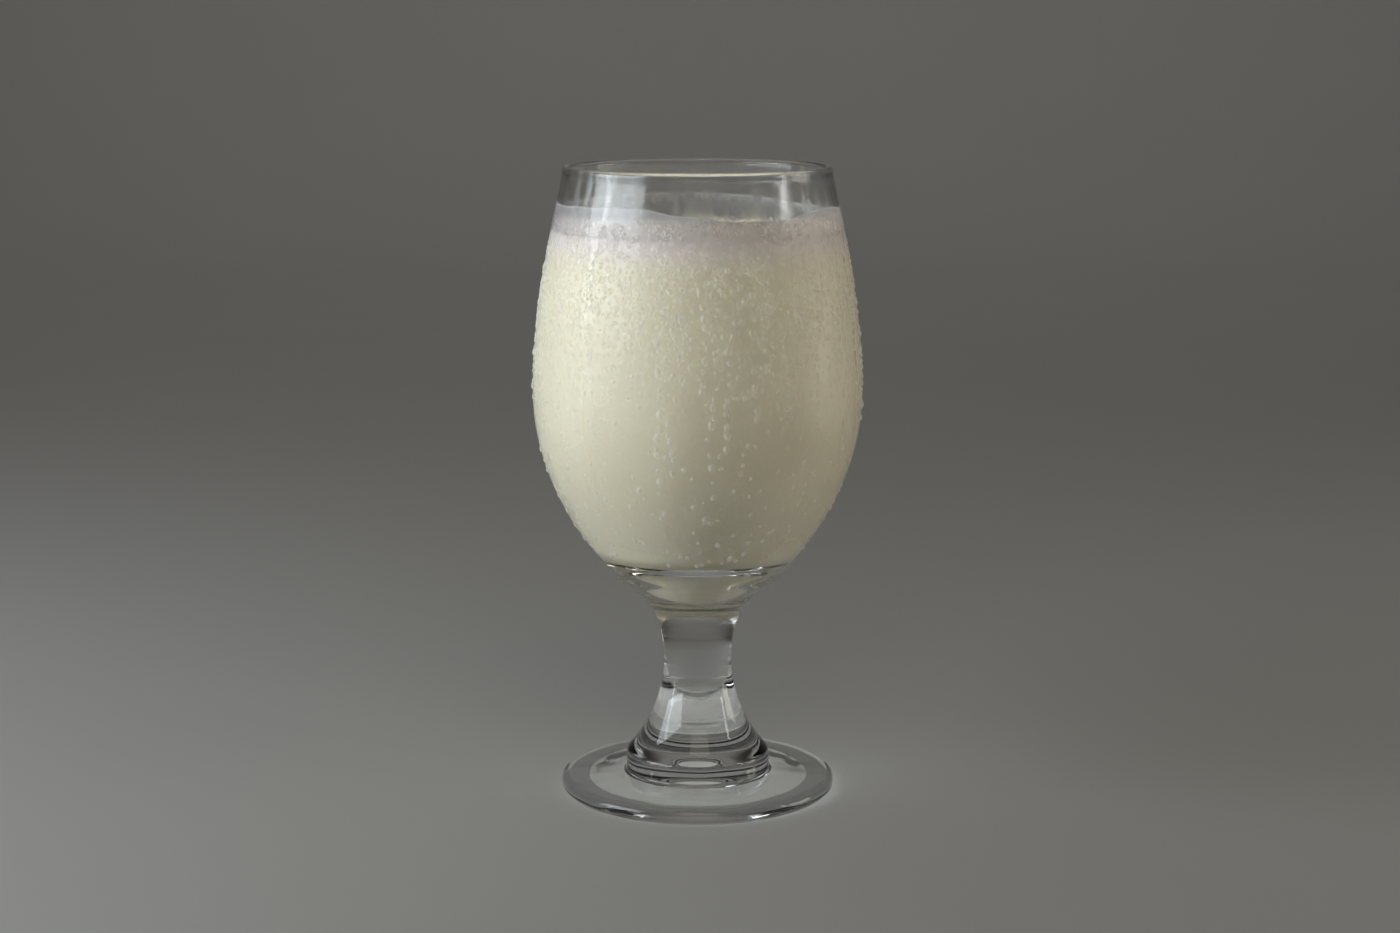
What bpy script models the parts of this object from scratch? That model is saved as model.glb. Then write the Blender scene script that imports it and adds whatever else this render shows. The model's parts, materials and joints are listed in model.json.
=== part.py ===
"""Stemmed goblet of sweet lassi: a glass made in one piece, and the drink that fills it.

Both are bodies of revolution about the Z axis. The origin is the centre of the ring that the
foot stands on. A profile is an array of (radius, height) points: that of the glass runs from
the middle of the bowl's floor up its inner wall, over the rim and down the outside to the foot.
"""

import math
from typing import NamedTuple

import bmesh
import bpy
import numpy as np

MM = 0.001


class Knot(NamedTuple):
    """A point that a profile passes through.

    heading is in degrees from straight down towards the outside. The reaches say how far the
    curve keeps to that heading before and after the point.
    """

    radius: float
    height: float
    heading: float
    reach_before: float = 0.0
    reach_after: float = 0.0

    def point(self):
        return np.array([self.radius, self.height])

    def direction(self):
        angle = math.radians(self.heading)
        return np.array([math.sin(angle), -math.cos(angle)])


# Facets around the axis, the same for both pieces so that their walls stay parallel
SIDES = 48

# Rim, a fire-polished bead that swells inwards
GLASS_HEIGHT = 158.0 * MM
BEAD_RADIUS = 0.95 * MM
BEAD_CENTRE = 32.4 * MM
BEAD_START = 205.0

# Outside of the bowl and the stem, from the lip down to the collar
LIP = Knot(33.4 * MM, 155.9 * MM, heading=12.3, reach_after=15.4 * MM)
BELLY = Knot(41.05 * MM, 102.0 * MM, heading=0.0, reach_before=18.4 * MM, reach_after=22.0 * MM)
HEEL = Knot(23.6 * MM, 59.0 * MM, heading=-44.0, reach_before=6.2 * MM, reach_after=4.9 * MM)
SHOULDER = Knot(16.5 * MM, 52.0 * MM, heading=-55.2, reach_before=7.4 * MM, reach_after=5.85 * MM)
WAIST = Knot(8.55 * MM, 33.6 * MM, heading=0.0, reach_before=9.5 * MM, reach_after=9.2 * MM)
CONE_END = Knot(17.3 * MM, 10.75 * MM, heading=40.5, reach_before=7.0 * MM, reach_after=0.75 * MM)
COLLAR_TOP = Knot(18.15 * MM, 9.1 * MM, heading=1.0, reach_before=0.75 * MM)
OUTSIDE_STEPS = [8, 9, 5, 7, 7, 3]

# Inside of the bowl: the wall, a soft ledge, and a pocket down to the floor
LIP_WALL = 1.45 * MM
BELLY_WALL = 2.25 * MM
INNER_LIP = Knot(LIP.radius - LIP_WALL, 155.0 * MM, heading=12.3, reach_after=17.0 * MM)
INNER_BELLY = Knot(
    BELLY.radius - BELLY_WALL, 103.5 * MM, heading=0.0, reach_before=17.5 * MM, reach_after=20.5 * MM
)
WALL_END = Knot(23.5 * MM, 65.3 * MM, heading=-35.0, reach_before=6.0 * MM, reach_after=2.3 * MM)
LEDGE = Knot(17.3 * MM, 62.3 * MM, heading=-88.0, reach_before=2.3 * MM, reach_after=6.0 * MM)
FLOOR = Knot(0.0, 54.8 * MM, heading=-90.0, reach_before=6.9 * MM)
INSIDE_STEPS = [7, 9, 4, 7]

# Collar and the fillet that joins it to the foot
COLLAR_BASE = Knot(18.15 * MM, 5.7 * MM, heading=0.0, reach_after=0.6 * MM)
FOOT_TOP = Knot(19.3 * MM, 4.75 * MM, heading=88.0, reach_before=0.7 * MM)
FILLET_STEPS = 3

# Foot, with a round edge, a flat standing ring and a shallow recess under it
EDGE_RADIUS = 2.1 * MM
EDGE_CENTRE = 32.75 * MM
EDGE_STEPS = 8
RING_INSIDE = Knot(27.5 * MM, 0.0, heading=-102.0, reach_after=7.0 * MM)
RECESS_MIDDLE = Knot(0.0, 1.4 * MM, heading=-90.0, reach_before=14.0 * MM)
RECESS_STEPS = 4

# Drink, which climbs the wall a little where it touches
LASSI_LEVEL = 142.0 * MM
MENISCUS_RISE = 0.6 * MM
MENISCUS_WIDTH = 2.6 * MM
WALL_GAP = 0.3 * MM

# Mesh finish
WELD_DISTANCE = 0.001 * MM
SHARP_ANGLE = 40.0

# Linear colours
GLASS_TINT = (0.93, 0.96, 0.96, 1.0)
LASSI_CREAM = (0.79, 0.77, 0.62, 1.0)


def span(start, end, steps):
    """Points and outward normals of the cubic curve between two knots, both ends included."""
    p0 = start.point()
    p1 = p0 + start.direction() * start.reach_after
    p3 = end.point()
    p2 = p3 - end.direction() * end.reach_before
    t = np.linspace(0.0, 1.0, steps + 1)[:, None]
    points = (1 - t) ** 3 * p0 + 3 * t * (1 - t) ** 2 * p1 + 3 * t * t * (1 - t) * p2 + t ** 3 * p3
    slope = (1 - t) ** 2 * (p1 - p0) + 2 * t * (1 - t) * (p2 - p1) + t * t * (p3 - p2)
    slope /= np.linalg.norm(slope, axis=1)[:, None]
    normals = np.column_stack([-slope[:, 1], slope[:, 0]])
    return points, normals


def curve(knots, steps, inset=0.0):
    """Profile through knots, with a count of steps for each span, moved inwards by inset."""
    spans = []
    for start, end, count in zip(knots, knots[1:], steps):
        points, normals = span(start, end, count)
        moved = points - normals * inset
        spans.append(moved[1:] if spans else moved)
    return np.vstack(spans)


def arc(centre_radius, centre_height, radius, start, end, steps):
    """Points on a round stretch of the profile, with its angles in degrees from outwards."""
    angles = np.radians(np.linspace(start, end, steps + 1))
    return np.column_stack([
        centre_radius + radius * np.cos(angles),
        centre_height + radius * np.sin(angles),
    ])


def bowl_inside(inset=0.0):
    """Inner wall from under the rim down to the middle of the floor."""
    return curve([INNER_LIP, INNER_BELLY, WALL_END, LEDGE, FLOOR], INSIDE_STEPS, inset)


def glass_profile():
    """Whole outline of the glass, from the bowl's floor round to the middle of the recess."""
    rim = arc(BEAD_CENTRE, GLASS_HEIGHT - BEAD_RADIUS, BEAD_RADIUS, BEAD_START, 0.0, 7)
    outside = curve([LIP, BELLY, HEEL, SHOULDER, WAIST, CONE_END, COLLAR_TOP], OUTSIDE_STEPS)
    fillet = curve([COLLAR_BASE, FOOT_TOP], [FILLET_STEPS])
    edge = arc(EDGE_CENTRE, EDGE_RADIUS, EDGE_RADIUS, 90.0, -90.0, EDGE_STEPS)
    recess = curve([RING_INSIDE, RECESS_MIDDLE], [RECESS_STEPS])
    return np.vstack([bowl_inside()[::-1], rim, outside, fillet, edge, recess])


def lassi_profile():
    """Outline of the drink: a level top that climbs a little at the wall, then the bowl's form."""
    wall = bowl_inside(WALL_GAP)
    contact_radius = np.interp(LASSI_LEVEL + MENISCUS_RISE, wall[::-1, 1], wall[::-1, 0])
    share = np.linspace(0.0, 1.0, 4)
    meniscus = np.column_stack([
        contact_radius - MENISCUS_WIDTH * (1 - share),
        LASSI_LEVEL + MENISCUS_RISE * share ** 2,
    ])
    wetted = wall[wall[:, 1] < LASSI_LEVEL - MENISCUS_RISE]
    return np.vstack([[[0.0, LASSI_LEVEL]], meniscus, wetted])


def turned_body(name, profile, material):
    """Spin a profile about Z into one closed body, smooth but for its real corners."""
    body = bmesh.new()
    ring = [body.verts.new((radius, 0.0, height)) for radius, height in profile]
    chain = [body.edges.new(pair) for pair in zip(ring, ring[1:])]
    bmesh.ops.spin(
        body,
        geom=ring + chain,
        cent=(0.0, 0.0, 0.0),
        axis=(0.0, 0.0, 1.0),
        angle=math.tau,
        steps=SIDES,
    )
    bmesh.ops.remove_doubles(body, verts=body.verts, dist=WELD_DISTANCE)
    bmesh.ops.recalc_face_normals(body, faces=body.faces)
    mesh = bpy.data.meshes.new(name)
    body.to_mesh(mesh)
    body.free()
    mesh.shade_smooth()
    mesh.set_sharp_from_angle(angle=math.radians(SHARP_ANGLE))
    mesh.materials.append(material)
    thing = bpy.data.objects.new(name, mesh)
    bpy.context.scene.collection.objects.link(thing)


def principled(name, settings):
    """New material whose shader has the given values."""
    material = bpy.data.materials.new(name)
    material.use_nodes = True
    shader = material.node_tree.nodes["Principled BSDF"]
    for socket, value in settings.items():
        shader.inputs[socket].default_value = value
    return material


def clear_glass():
    """Colourless pressed and blown soda glass."""
    return principled("clear_glass", {
        "Base Color": GLASS_TINT,
        "Roughness": 0.02,
        "Metallic": 0.0,
        "IOR": 1.52,
        "Transmission Weight": 1.0,
    })


def sweet_lassi():
    """Pale cream yoghurt drink, opaque and a little glossy."""
    return principled("sweet_lassi", {
        "Base Color": LASSI_CREAM,
        "Roughness": 0.35,
        "Metallic": 0.0,
        "Subsurface Weight": 0.3,
    })


def main():
    for leftover in list(bpy.data.objects):
        bpy.data.objects.remove(leftover, do_unlink=True)
    turned_body("glass", glass_profile(), clear_glass())
    turned_body("lassi", lassi_profile(), sweet_lassi())


main()
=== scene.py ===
"""Looks of a stemmed goblet of sweet lassi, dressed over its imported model.

Everything is in metres, with +Z up along the axis of the glass and the foot standing on z = 0.
Azimuths are in degrees from the front of the glass, which faces -Y, towards its right, +X.
"""

import json
import math
from typing import NamedTuple

import bpy
import numpy as np
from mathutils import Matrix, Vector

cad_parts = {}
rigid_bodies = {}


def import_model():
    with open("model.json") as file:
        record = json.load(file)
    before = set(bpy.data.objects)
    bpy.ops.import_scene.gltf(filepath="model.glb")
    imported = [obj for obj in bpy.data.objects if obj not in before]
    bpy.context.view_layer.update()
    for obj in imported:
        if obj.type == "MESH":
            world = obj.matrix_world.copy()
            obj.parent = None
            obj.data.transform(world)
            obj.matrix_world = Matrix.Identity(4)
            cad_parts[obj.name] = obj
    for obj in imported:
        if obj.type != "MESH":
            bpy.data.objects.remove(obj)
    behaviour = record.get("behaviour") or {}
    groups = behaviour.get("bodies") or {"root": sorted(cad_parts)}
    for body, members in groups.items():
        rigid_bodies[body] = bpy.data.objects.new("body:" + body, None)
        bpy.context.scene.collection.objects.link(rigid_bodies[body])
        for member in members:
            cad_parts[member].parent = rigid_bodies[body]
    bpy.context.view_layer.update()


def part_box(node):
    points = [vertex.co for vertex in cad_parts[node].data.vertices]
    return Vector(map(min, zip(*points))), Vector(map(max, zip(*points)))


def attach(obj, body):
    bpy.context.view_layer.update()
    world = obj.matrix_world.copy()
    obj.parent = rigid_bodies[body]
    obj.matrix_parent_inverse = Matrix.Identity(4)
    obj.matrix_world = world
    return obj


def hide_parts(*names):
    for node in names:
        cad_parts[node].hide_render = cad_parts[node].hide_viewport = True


bl_info = {
    "name": "Glass of Sweet Lassi",
    "version": (1, 0, 0),
    "blender": (4, 5, 0),
    "location": "3D View > Sidebar > Lassi",
    "description": "Dresses a goblet of lassi: clear glass, drink, film, froth and condensation",
    "category": "Add Mesh",
}

MM = 0.001

for leftover in list(bpy.data.objects):
    bpy.data.objects.remove(leftover, do_unlink=True)
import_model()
_, GLASS_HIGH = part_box("glass")
_, LASSI_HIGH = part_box("lassi")


# Profiles


class Knot(NamedTuple):
    """A point that a profile passes through.

    heading is in degrees from straight down towards the outside. The reaches say how far the
    curve keeps to that heading before and after the point.
    """

    radius: float
    height: float
    heading: float
    reach_before: float = 0.0
    reach_after: float = 0.0

    def point(self):
        return np.array([self.radius, self.height])

    def direction(self):
        angle = math.radians(self.heading)
        return np.array([math.sin(angle), -math.cos(angle)])


# Outside of the bowl and the stem, from the lip down to the collar
LIP = Knot(33.4 * MM, 155.9 * MM, heading=12.3, reach_after=15.4 * MM)
BELLY = Knot(41.05 * MM, 102.0 * MM, heading=0.0, reach_before=18.4 * MM, reach_after=22.0 * MM)
HEEL = Knot(23.6 * MM, 59.0 * MM, heading=-44.0, reach_before=6.2 * MM, reach_after=4.9 * MM)
SHOULDER = Knot(16.5 * MM, 52.0 * MM, heading=-55.2, reach_before=7.4 * MM, reach_after=5.85 * MM)
WAIST = Knot(8.55 * MM, 33.6 * MM, heading=0.0, reach_before=9.5 * MM, reach_after=9.2 * MM)
CONE_END = Knot(17.3 * MM, 10.75 * MM, heading=40.5, reach_before=7.0 * MM, reach_after=0.75 * MM)
COLLAR_TOP = Knot(18.15 * MM, 9.1 * MM, heading=1.0, reach_before=0.75 * MM)
BOWL_STEPS = [28, 34]
STEM_STEPS = [14, 20, 24, 5]

# Inside of the bowl: the wall, a soft ledge, and a pocket down to the floor
INNER_LIP = Knot(31.95 * MM, 155.0 * MM, heading=12.3, reach_after=17.0 * MM)
INNER_BELLY = Knot(
    38.8 * MM, 103.5 * MM, heading=0.0, reach_before=17.5 * MM, reach_after=20.5 * MM
)
WALL_END = Knot(23.5 * MM, 65.3 * MM, heading=-35.0, reach_before=6.0 * MM, reach_after=2.3 * MM)
LEDGE = Knot(17.3 * MM, 62.3 * MM, heading=-88.0, reach_before=2.3 * MM, reach_after=6.0 * MM)
FLOOR = Knot(0.0, 54.8 * MM, heading=-90.0, reach_before=6.9 * MM)
INSIDE_STEPS = [26, 30, 14, 20]

# Rim bead, with its arc in degrees from outwards
BEAD_RADIUS = 0.95 * MM
BEAD_CENTRE = 32.4 * MM
BEAD_ARC = (205.0, 0.0)
BEAD_STEPS = 18

# Collar, foot and the recess under it
COLLAR_BASE = Knot(18.15 * MM, 5.7 * MM, heading=0.0, reach_after=0.6 * MM)
FOOT_TOP = Knot(19.3 * MM, 4.75 * MM, heading=88.0, reach_before=0.7 * MM)
EDGE_RADIUS = 2.1 * MM
EDGE_CENTRE = 32.75 * MM
EDGE_STEPS = 16
RING_INSIDE = Knot(27.5 * MM, 0.0, heading=-102.0, reach_after=7.0 * MM)
RECESS_MIDDLE = Knot(0.0, 1.4 * MM, heading=-90.0, reach_before=14.0 * MM)

# Drink at the wall
MENISCUS_RISE = 0.6 * MM
MENISCUS_WIDTH = 2.6 * MM
LEVEL = LASSI_HIGH.z - MENISCUS_RISE

# Mist outside the bowl, which sets in above the heel
MIST_START = 60 * MM
MIST_FULL = 72 * MM

# Film on the wall: its gap to the drink, how deep it lies in the glass, the place and width of the
# bead under its upper edge as shares of the way up, and the azimuth and width of its two sides
FILM_SIDES = 300
FILM_GAP = 0.1 * MM
FILM_BITE = 0.05 * MM
FILM_BEAD = (0.95, 0.05)
# Where the film is made thinner, with less froth, as painted shade, and where it is made denser as
# painted light
FILM_SHADED_SIDE = (295.0, 38.0)
FILM_LIT_SIDE = (80.0, 26.0)

# Beads and bubbles: how deep they are rooted, how far their middle hangs as a share of the radius,
# and the angle in degrees past which an edge is sharp
ROOT_DEPTH = 0.05 * MM
SAG = 0.22
SHARP_EDGE = 75.0
FINE_SIDES = 8
RUN_SIDES = 14
BUBBLE_SIDES = 10

# Where the fine beads start and end
BEADS_LOW = 63 * MM
BEADS_HIGH = LEVEL - 1.2 * MM

# Mean distance between the beads of a run, and the degrees beside it that stay free of fine beads
RUN_GAP = 2.6 * MM
RUN_LANE = 2.1

# Share of the bubbles that crowd at the wall, and their mean distance from it
BUBBLES_AT_WALL = 0.62
CROWD_DEPTH = 1.1 * MM

# Seeds of the random draws
FINE_PLACES_SEED = 11
FINE_OUTLINES_SEED = 5
RUN_PLACES_SEED = 23
RUN_OUTLINES_SEED = 6
BUBBLE_PLACES_SEED = 31
BUBBLE_OUTLINES_SEED = 8

# Height of the milky film's upper edge by azimuth
TIDE_LINE = [
    (-180, 149.4 * MM),
    (-120, 149.0 * MM),
    (-90, 148.8 * MM),
    (-50, 149.3 * MM),
    (-24, 149.6 * MM),
    (-7, 148.2 * MM),
    (15, 146.6 * MM),
    (30, 146.7 * MM),
    (61, 148.6 * MM),
    (90, 147.9 * MM),
    (103, 147.1 * MM),
    (127, 147.4 * MM),
    (151, 148.6 * MM),
]

# Where large beads have run down the bowl: azimuth, highest and lowest point
RUNS = [
    (-66, 120 * MM, 76 * MM),
    (-54, 112 * MM, 84 * MM),
    (-38, 139 * MM, 106 * MM),
    (-29, 138 * MM, 98 * MM),
    (-20, 114 * MM, 104 * MM),
    (-13, 121 * MM, 86 * MM),
    (-9, 104 * MM, 88 * MM),
    (2, 134 * MM, 108 * MM),
    (5, 110 * MM, 82 * MM),
    (10, 128 * MM, 94 * MM),
    (19, 132 * MM, 101 * MM),
    (31, 136 * MM, 103 * MM),
    (35, 136 * MM, 118 * MM),
    (44, 124 * MM, 97 * MM),
    (51, 137 * MM, 93 * MM),
    (62, 126 * MM, 88 * MM),
    (85, 133 * MM, 96 * MM),
    (104, 121 * MM, 80 * MM),
    (121, 138 * MM, 104 * MM),
    (140, 116 * MM, 82 * MM),
    (158, 131 * MM, 99 * MM),
    (175, 125 * MM, 85 * MM),
    (-165, 137 * MM, 108 * MM),
    (-147, 119 * MM, 79 * MM),
    (-128, 132 * MM, 95 * MM),
    (-107, 126 * MM, 90 * MM),
    (-88, 136 * MM, 101 * MM),
]


def span(start, end, steps):
    """Cubic curve from one knot to the next, whose two middle handles lie along the headings.

    Returns its points and the normals on the side that faces away from the axis going down.
    """
    p0 = start.point()
    p1 = p0 + start.direction() * start.reach_after
    p3 = end.point()
    p2 = p3 - end.direction() * end.reach_before
    t = np.linspace(0.0, 1.0, steps + 1)[:, None]
    points = (1 - t) ** 3 * p0 + 3 * t * (1 - t) ** 2 * p1 + 3 * t * t * (1 - t) * p2 + t ** 3 * p3
    slope = (1 - t) ** 2 * (p1 - p0) + 2 * t * (1 - t) * (p2 - p1) + t * t * (p3 - p2)
    slope /= np.linalg.norm(slope, axis=1)[:, None]
    normals = np.column_stack([-slope[:, 1], slope[:, 0]])
    return points, normals


def curve(knots, steps, inset=0.0):
    """Profile through knots, with a count of steps for each span, moved inwards by inset."""
    spans = []
    for start, end, count in zip(knots, knots[1:], steps):
        points, normals = span(start, end, count)
        moved = points - normals * inset
        spans.append(moved[1:] if spans else moved)
    return np.vstack(spans)


def arc(centre_radius, centre_height, radius, start, end, steps):
    """Round stretch of a profile: the centre plus the radius turned from start to end degrees."""
    angles = np.radians(np.linspace(start, end, steps + 1))
    return np.column_stack([
        centre_radius + radius * np.cos(angles),
        centre_height + radius * np.sin(angles),
    ])


def bowl_inside(inset=0.0):
    """Inner wall from under the rim down to the middle of the floor."""
    return curve([INNER_LIP, INNER_BELLY, WALL_END, LEDGE, FLOOR], INSIDE_STEPS, inset)


def bowl_outside():
    """Outer wall from the lip down to the heel."""
    return curve([LIP, BELLY, HEEL], BOWL_STEPS)


def glass_profile():
    """Whole outline of the glass, from the bowl's floor round to the middle of the recess."""
    bead_height = GLASS_HIGH.z - BEAD_RADIUS
    rim = arc(BEAD_CENTRE, bead_height, BEAD_RADIUS, *BEAD_ARC, BEAD_STEPS)
    stem = curve([HEEL, SHOULDER, WAIST, CONE_END, COLLAR_TOP], STEM_STEPS)
    fillet = curve([COLLAR_BASE, FOOT_TOP], [6])
    edge = arc(EDGE_CENTRE, EDGE_RADIUS, EDGE_RADIUS, 90.0, -90.0, EDGE_STEPS)
    recess = curve([RING_INSIDE, RECESS_MIDDLE], [10])
    return np.vstack([bowl_inside()[::-1], rim, bowl_outside(), stem[1:], fillet, edge, recess])


def wall_at(heights, profile):
    """Radius and outward lean of a wall at given heights, read off its profile."""
    rising = profile[::-1] if profile[0, 1] > profile[-1, 1] else profile
    radius = np.interp(heights, rising[:, 1], rising[:, 0])
    step = 0.2 * MM
    above = np.interp(heights + step, rising[:, 1], rising[:, 0])
    below = np.interp(heights - step, rising[:, 1], rising[:, 0])
    return radius, (above - below) / (2 * step)


def surface_radius():
    """Radius of the inner wall at the drink's level."""
    radius, _ = wall_at(LEVEL, bowl_inside())
    return radius


def around(knots, azimuths):
    """Value at each azimuth, eased with a half cosine from knot to knot, all the way round."""
    places = np.array([place for place, _ in knots] + [knots[0][0] + 360.0])
    values = np.array([value for _, value in knots] + [knots[0][1]])
    turned = places[0] + np.mod(azimuths - places[0], 360.0)
    after = np.clip(np.searchsorted(places, turned, side="right"), 1, len(places) - 1)
    share = (turned - places[after - 1]) / (places[after] - places[after - 1])
    eased = 0.5 - 0.5 * np.cos(np.pi * share)
    return values[after - 1] * (1 - eased) + values[after] * eased


# Meshes


def shells(name, rings, poles=None, looped=False):
    """One mesh of many closed bodies, each a stack of rings.

    rings has the shape (bodies, rings, sides, 3). Each ring is joined to the next by quads. poles,
    of the shape (bodies, 2, 3), close the first and the last ring by fans. A looped body has its
    last ring joined to its first instead.
    """
    bodies, stack, sides = rings.shape[:3]
    points = rings.reshape(-1, 3)
    body = np.arange(bodies)[:, None, None] * stack * sides
    row = np.arange(stack if looped else stack - 1)[None, :, None]
    side = np.arange(sides)[None, None, :]
    next_row = (row + 1) % stack
    next_side = (side + 1) % sides
    quads = np.stack([
        np.broadcast_to(body + row * sides + side, (bodies, row.size, sides)),
        np.broadcast_to(body + next_row * sides + side, (bodies, row.size, sides)),
        np.broadcast_to(body + next_row * sides + next_side, (bodies, row.size, sides)),
        np.broadcast_to(body + row * sides + next_side, (bodies, row.size, sides)),
    ], axis=-1).reshape(-1, 4)
    fans = np.zeros((0, 3), int)
    if poles is not None:
        first = (len(points) + 2 * np.arange(bodies))[:, None] + np.zeros((1, sides), int)
        near = body[:, 0] + side[0]
        far = near + (stack - 1) * sides
        fans = np.vstack([
            np.stack([first, near, np.roll(near, -1, axis=1)], axis=-1).reshape(-1, 3),
            np.stack([first + 1, np.roll(far, -1, axis=1), far], axis=-1).reshape(-1, 3),
        ])
        points = np.vstack([points, poles.reshape(-1, 3)])
    corners = np.concatenate([quads.ravel(), fans.ravel()])
    sizes = np.concatenate([np.full(len(quads), 4), np.full(len(fans), 3)])
    mesh = bpy.data.meshes.new(name)
    mesh.vertices.add(len(points))
    mesh.vertices.foreach_set("co", points.astype(np.float32).ravel())
    mesh.loops.add(len(corners))
    mesh.loops.foreach_set("vertex_index", corners.astype(np.int32))
    mesh.polygons.add(len(sizes))
    mesh.polygons.foreach_set("loop_start", (np.cumsum(sizes) - sizes).astype(np.int32))
    mesh.update(calc_edges=True)
    mesh.validate()
    mesh.shade_smooth()
    return mesh


def turned(profile, sides):
    """Profile carried round the axis: x is radius times sine of azimuth, y minus its cosine."""
    azimuth = np.linspace(0.0, math.tau, sides, endpoint=False)
    radius = profile[:, 0][:, None]
    return np.stack([
        radius * np.sin(azimuth),
        -radius * np.cos(azimuth),
        np.broadcast_to(profile[:, 1][:, None], (len(profile), sides)),
    ], axis=-1)


def turned_mesh(name, profile, sides):
    """Closed body turned from a profile whose two ends lie on the axis."""
    rings = turned(profile[1:-1], sides)[None]
    ends = profile[[0, -1]]
    poles = np.column_stack([np.zeros(2), np.zeros(2), ends[:, 1]])[None]
    return shells(name, rings, poles)


def keep_attribute(mesh, name, values):
    """Store one number for each vertex, for the material to read."""
    attribute = mesh.attributes.new(name, "FLOAT", "POINT")
    attribute.data.foreach_set("value", np.asarray(values, np.float32).ravel())


def vertex_points(mesh):
    """All vertex places as an array."""
    flat = np.zeros(len(mesh.vertices) * 3, np.float32)
    mesh.vertices.foreach_get("co", flat)
    return flat.reshape(-1, 3).astype(float)


def move_vertices(mesh, points):
    """Put all vertices at new places."""
    mesh.vertices.foreach_set("co", points.astype(np.float32).ravel())
    mesh.update()


def piece(name, mesh, material, replaced=()):
    """Put a finished mesh in the scene as a piece that rides on the one body."""
    mesh.materials.append(material)
    thing = bpy.data.objects.new(name, mesh)
    bpy.context.scene.collection.objects.link(thing)
    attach(thing, "root")
    if replaced:
        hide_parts(*replaced)


def smooth(value, low, high):
    """Soft step of a number or an array, from 0 at low to 1 at high."""
    t = np.clip((value - low) / (high - low), 0.0, 1.0)
    return t * t * (3 - 2 * t)


def hump(value, middle, width):
    """Bell curve of an array: 1 at the middle, and 1 / e at the width on either side of it."""
    return np.exp(-((value - middle) / width) ** 2)


# Shader maths


class Term:
    """A number, colour or vector that varies over a surface. Operators on it add nodes."""

    def __init__(self, finish, socket):
        self.finish = finish
        self.socket = socket

    def maths(self, operation, *operands):
        inputs = dict(enumerate(operands))
        return self.finish.node("Math", {"operation": operation}, inputs)

    def __add__(self, other):
        return self.maths("ADD", self, other)

    __radd__ = __add__

    def __sub__(self, other):
        return self.maths("SUBTRACT", self, other)

    def __rsub__(self, other):
        return self.maths("SUBTRACT", other, self)

    def __mul__(self, other):
        return self.maths("MULTIPLY", self, other)

    __rmul__ = __mul__

    def most(self, other):
        return self.maths("MAXIMUM", self, other)

    def between(self, low, high, start=0.0, end=1.0):
        """Eased from start at low to end at high, and level outside them."""
        return self.finish.node(
            "MapRange",
            {"interpolation_type": "SMOOTHSTEP"},
            {"Value": self, "From Min": low, "From Max": high, "To Min": start, "To Max": end},
        )


class Finish:
    """A material being made, whose nodes all come from one method."""

    def __init__(self, name):
        self.material = bpy.data.materials.new(name)
        self.material.use_nodes = True
        self.tree = self.material.node_tree
        self.tree.nodes.clear()

    def node(self, kind, settings=None, inputs=None, output=0):
        """Add a node: its settings first, then the value or link of each named socket.

        Returns the wanted output, or nothing for a node that has none.
        """
        made = self.tree.nodes.new("ShaderNode" + kind)
        for name, value in (settings or {}).items():
            setattr(made, name, value)
        for name, value in (inputs or {}).items():
            if isinstance(value, Term):
                self.tree.links.new(value.socket, made.inputs[name])
            else:
                made.inputs[name].default_value = value
        return Term(self, made.outputs[output]) if made.outputs else None

    def place(self):
        """Object coordinates, in metres."""
        return self.node("TexCoord", output="Object")

    def along(self, axis):
        """Object coordinate along X, Y or Z."""
        return self.node("SeparateXYZ", inputs={"Vector": self.place()}, output=axis)

    def height(self):
        return self.along("Z")

    def attribute(self, name):
        return self.node("Attribute", {"attribute_name": name}, output="Fac")

    def stretched(self, scale):
        """Object coordinates times a scale for each axis."""
        return self.node("VectorMath", {"operation": "MULTIPLY"}, {0: self.place(), 1: scale})

    def noise(self, scale, detail=2.0):
        """Noise from 0 to 1 with a scale for each axis, in turns per metre."""
        return self.node(
            "TexNoise", inputs={"Vector": self.stretched(scale), "Scale": 1.0, "Detail": detail}
        )

    def cells(self, scale):
        """Distance to the middle of the nearest of many cells, with a scale for each axis."""
        return self.node(
            "TexVoronoi", inputs={"Vector": self.stretched(scale), "Scale": 1.0}, output="Distance"
        )

    def blend(self, share, first, second):
        """Colour that goes from first to second as share goes from 0 to 1."""
        return self.node(
            "Mix", {"data_type": "RGBA"}, {0: share, 6: first, 7: second}, output=2
        )

    def relief(self, height, distance):
        """Normal that shades as if the surface stood out by height times distance."""
        return self.node("Bump", inputs={"Height": height, "Distance": distance, "Strength": 1.0})

    def shader(self, **settings):
        """Principled shader; a name's underscores stand for the spaces of its socket."""
        inputs = {name.replace("_", " "): value for name, value in settings.items()}
        return self.node("BsdfPrincipled", inputs=inputs)

    def mix(self, share, first, second):
        """Shader that goes from first to second as share goes from 0 to 1."""
        return self.node("MixShader", inputs={0: share, 1: first, 2: second})

    def lit_through(self, shader, tint):
        """Let the rays of lamps pass straight through, tinted, to light what is behind."""
        clear = self.node("BsdfTransparent", inputs={"Color": tint})
        shadow_ray = self.node("LightPath", output="Is Shadow Ray")
        return self.mix(shadow_ray, shader, clear)

    def finished(self, shader):
        """Send the shader to the output and hand over the material."""
        self.node("OutputMaterial", inputs={"Surface": shader})
        return self.material


def opaque(rgb):
    """Colour with full alpha."""
    return (*rgb[:3], 1.0)


# Materials

GLASS_IOR = 1.52
DRINK_IOR = 1.35
WATER_IOR = 1.333


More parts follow.
